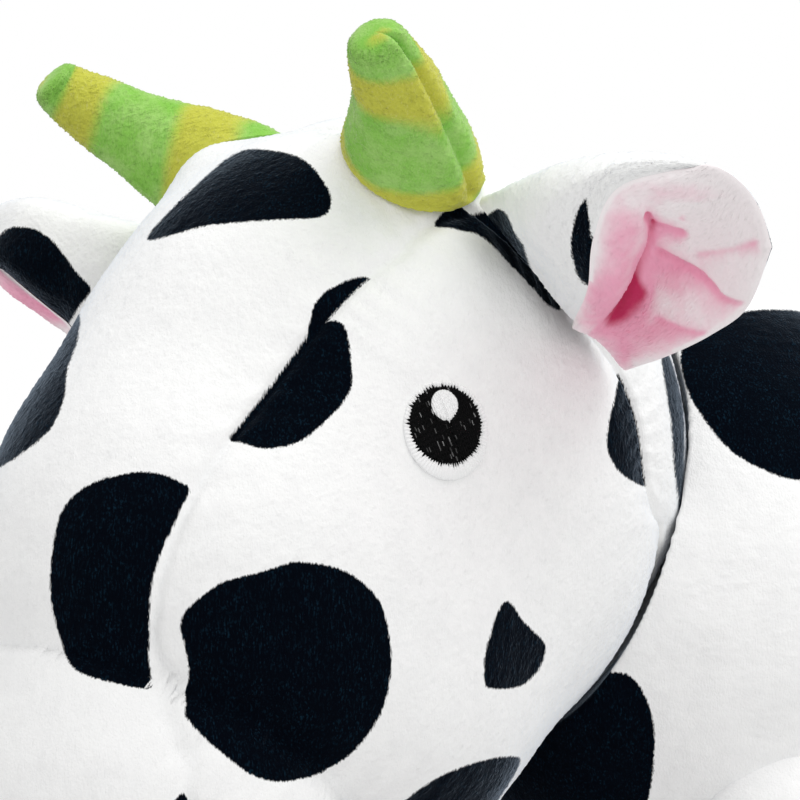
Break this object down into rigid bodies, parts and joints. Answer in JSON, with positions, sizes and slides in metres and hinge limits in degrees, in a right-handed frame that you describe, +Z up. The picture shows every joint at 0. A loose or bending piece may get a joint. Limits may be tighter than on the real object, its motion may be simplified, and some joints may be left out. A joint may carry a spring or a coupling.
{
  "type": "plush cow",
  "caption": "Standing stuffed cow toy with soft horns, folded lined ears, a turning head, swinging legs and a hanging tail.",
  "frame": {"origin": "middle of the outline, on the ground under the toy", "axes": "+Z up, the cow faces -Y, its left side is +X, the tail is at +Y"},
  "size_m": [0.1876, 0.3188, 0.2171],
  "materials": {
    "printed_plush": "white short pile with printed navy blotches",
    "white_plush": "white short pile",
    "navy_plush": "near-black navy short pile",
    "pink_plush": "pink short pile",
    "green_plush": "green short pile with soft yellow-olive bands",
    "black_thread": "satin-stitch embroidery thread",
    "rose_thread": "satin-stitch embroidery thread"
  },
  "bodies": {
    "body": {"body": "printed_plush"},
    "head": {"head": "printed_plush", "muzzle": "pink_plush", "nostril_left": "rose_thread", "nostril_right": "rose_thread", "eye_left": "black_thread", "eye_right": "black_thread"},
    "tail": {"tail": "printed_plush", "tail_tuft": "navy_plush"},
    "horn_left": {"horn_left": "green_plush"},
    "ear_left": {"ear_left_shell": "printed_plush", "ear_left_lining": "pink_plush"},
    "front_leg_left": {"front_leg_left": "white_plush", "front_hoof_left": "navy_plush"},
    "hind_leg_left": {"hind_leg_left": "white_plush", "hind_hoof_left": "navy_plush"},
    "horn_right": {"horn_right": "green_plush"},
    "ear_right": {"ear_right_shell": "printed_plush", "ear_right_lining": "pink_plush"},
    "front_leg_right": {"front_leg_right": "white_plush", "front_hoof_right": "navy_plush"},
    "hind_leg_right": {"hind_leg_right": "white_plush", "hind_hoof_right": "navy_plush"}
  },
  "joints": [
    {"name": "head_turn", "type": "hinge", "parent": "body", "child": "head", "pos_m": [0, -0.05894, 0.145], "axis": [0, 0, 1], "range_deg": [-8, 8], "stiffness_Nm_per_rad": 0.3},
    {"name": "horn_left_bend", "type": "hinge", "parent": "head", "child": "horn_left", "pos_m": [0.02181, -0.08644, 0.19736], "axis": [0.7418, 0.5351, -0.4042], "range_deg": [-15, 15], "stiffness_Nm_per_rad": 0.05},
    {"name": "ear_left_flop", "type": "hinge", "parent": "head", "child": "ear_left", "pos_m": [0.04329, -0.07099, 0.17603], "axis": [0.2671, 0.629, -0.73], "range_deg": [-10, 10], "stiffness_Nm_per_rad": 0.03},
    {"name": "front_leg_left_swing", "type": "hinge", "parent": "body", "child": "front_leg_left", "pos_m": [0.03, -0.00894, 0.08517], "axis": [1, 0, 0], "range_deg": [-15, 15], "stiffness_Nm_per_rad": 0.5},
    {"name": "hind_leg_left_swing", "type": "hinge", "parent": "body", "child": "hind_leg_left", "pos_m": [0.03, 0.09806, 0.08668], "axis": [1, 0, 0], "range_deg": [-15, 15], "stiffness_Nm_per_rad": 0.5},
    {"name": "horn_right_bend", "type": "hinge", "parent": "head", "child": "horn_right", "pos_m": [-0.02181, -0.08644, 0.19736], "axis": [0.7418, -0.5351, 0.4042], "range_deg": [-15, 15], "stiffness_Nm_per_rad": 0.05},
    {"name": "ear_right_flop", "type": "hinge", "parent": "head", "child": "ear_right", "pos_m": [-0.04329, -0.07099, 0.17603], "axis": [0.2671, -0.629, 0.73], "range_deg": [-10, 10], "stiffness_Nm_per_rad": 0.03},
    {"name": "front_leg_right_swing", "type": "hinge", "parent": "body", "child": "front_leg_right", "pos_m": [-0.03, -0.00894, 0.08517], "axis": [1, 0, 0], "range_deg": [-15, 15], "stiffness_Nm_per_rad": 0.5},
    {"name": "hind_leg_right_swing", "type": "hinge", "parent": "body", "child": "hind_leg_right", "pos_m": [-0.03, 0.09806, 0.08668], "axis": [1, 0, 0], "range_deg": [-15, 15], "stiffness_Nm_per_rad": 0.5},
    {"name": "tail_swing", "type": "hinge", "parent": "body", "child": "tail", "pos_m": [0, 0.13489, 0.14912], "axis": [0, 0.9214, 0.3885], "range_deg": [-30, 30]}
  ]
}
